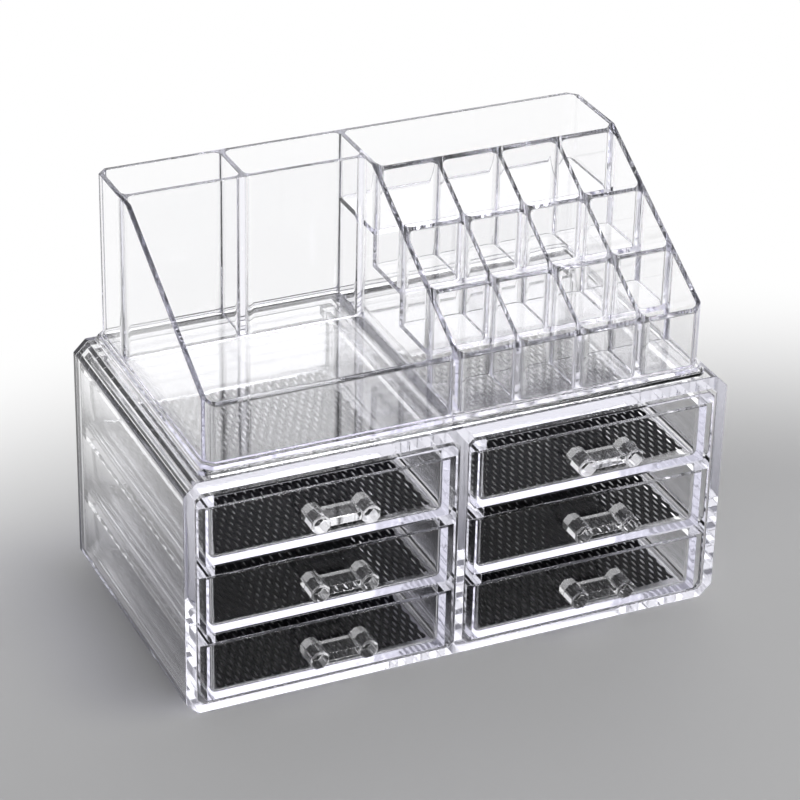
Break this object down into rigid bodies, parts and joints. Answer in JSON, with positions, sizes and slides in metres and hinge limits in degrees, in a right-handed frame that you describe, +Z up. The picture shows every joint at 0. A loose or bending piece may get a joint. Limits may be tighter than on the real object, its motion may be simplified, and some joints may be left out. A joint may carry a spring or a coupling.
{
  "type": "makeup organizer with drawers",
  "caption": "Clear plastic make-up organizer: an octagonal case with two stacks of pull-out drawers lined with black net, and a lift-off tray with open rooms and stepped lipstick cells.",
  "frame": {"origin": "on the table, under the middle of the whole outline, handles included", "axes": "+X to the viewer's right along the width, +Y from the drawer fronts to the back, +Z up"},
  "size_m": [0.238, 0.14, 0.185],
  "materials": {
    "clear_case": "clear polished",
    "clear_foot": "clear",
    "clear_rack": "clear polished",
    "clear_drawer": "clear polished",
    "clear_handle": "clear polished",
    "clear_tray": "clear polished",
    "black_net": "matt foam-coated net"
  },
  "bodies": {
    "case": {"case_shell": "clear_case", "case_back": "clear_case", "case_feet": "clear_foot", "drawer_rack_left": "clear_rack", "drawer_rack_right": "clear_rack"},
    "drawer_left_bottom": {"drawer_box_left_bottom": "clear_drawer", "drawer_handle_left_bottom": "clear_handle", "drawer_liner_left_bottom": "black_net"},
    "drawer_left_middle": {"drawer_box_left_middle": "clear_drawer", "drawer_handle_left_middle": "clear_handle", "drawer_liner_left_middle": "black_net"},
    "drawer_left_top": {"drawer_box_left_top": "clear_drawer", "drawer_handle_left_top": "clear_handle", "drawer_liner_left_top": "black_net"},
    "drawer_right_bottom": {"drawer_box_right_bottom": "clear_drawer", "drawer_handle_right_bottom": "clear_handle", "drawer_liner_right_bottom": "black_net"},
    "drawer_right_middle": {"drawer_box_right_middle": "clear_drawer", "drawer_handle_right_middle": "clear_handle", "drawer_liner_right_middle": "black_net"},
    "drawer_right_top": {"drawer_box_right_top": "clear_drawer", "drawer_handle_right_top": "clear_handle", "drawer_liner_right_top": "black_net"},
    "tray": {"upper_tray": "clear_tray"}
  },
  "joints": [
    {"name": "drawer_left_bottom_slide", "type": "slide", "parent": "case", "child": "drawer_left_bottom", "axis": [0, -1, 0], "range_m": [0, 0.095]},
    {"name": "drawer_left_middle_slide", "type": "slide", "parent": "case", "child": "drawer_left_middle", "axis": [0, -1, 0], "range_m": [0, 0.095]},
    {"name": "drawer_left_top_slide", "type": "slide", "parent": "case", "child": "drawer_left_top", "axis": [0, -1, 0], "range_m": [0, 0.095]},
    {"name": "drawer_right_bottom_slide", "type": "slide", "parent": "case", "child": "drawer_right_bottom", "axis": [0, -1, 0], "range_m": [0, 0.095]},
    {"name": "drawer_right_middle_slide", "type": "slide", "parent": "case", "child": "drawer_right_middle", "axis": [0, -1, 0], "range_m": [0, 0.095]},
    {"name": "drawer_right_top_slide", "type": "slide", "parent": "case", "child": "drawer_right_top", "axis": [0, -1, 0], "range_m": [0, 0.095]},
    {"name": "tray_lift", "type": "slide", "parent": "case", "child": "tray", "axis": [0, 0, 1], "range_m": [0, 0.06]}
  ]
}
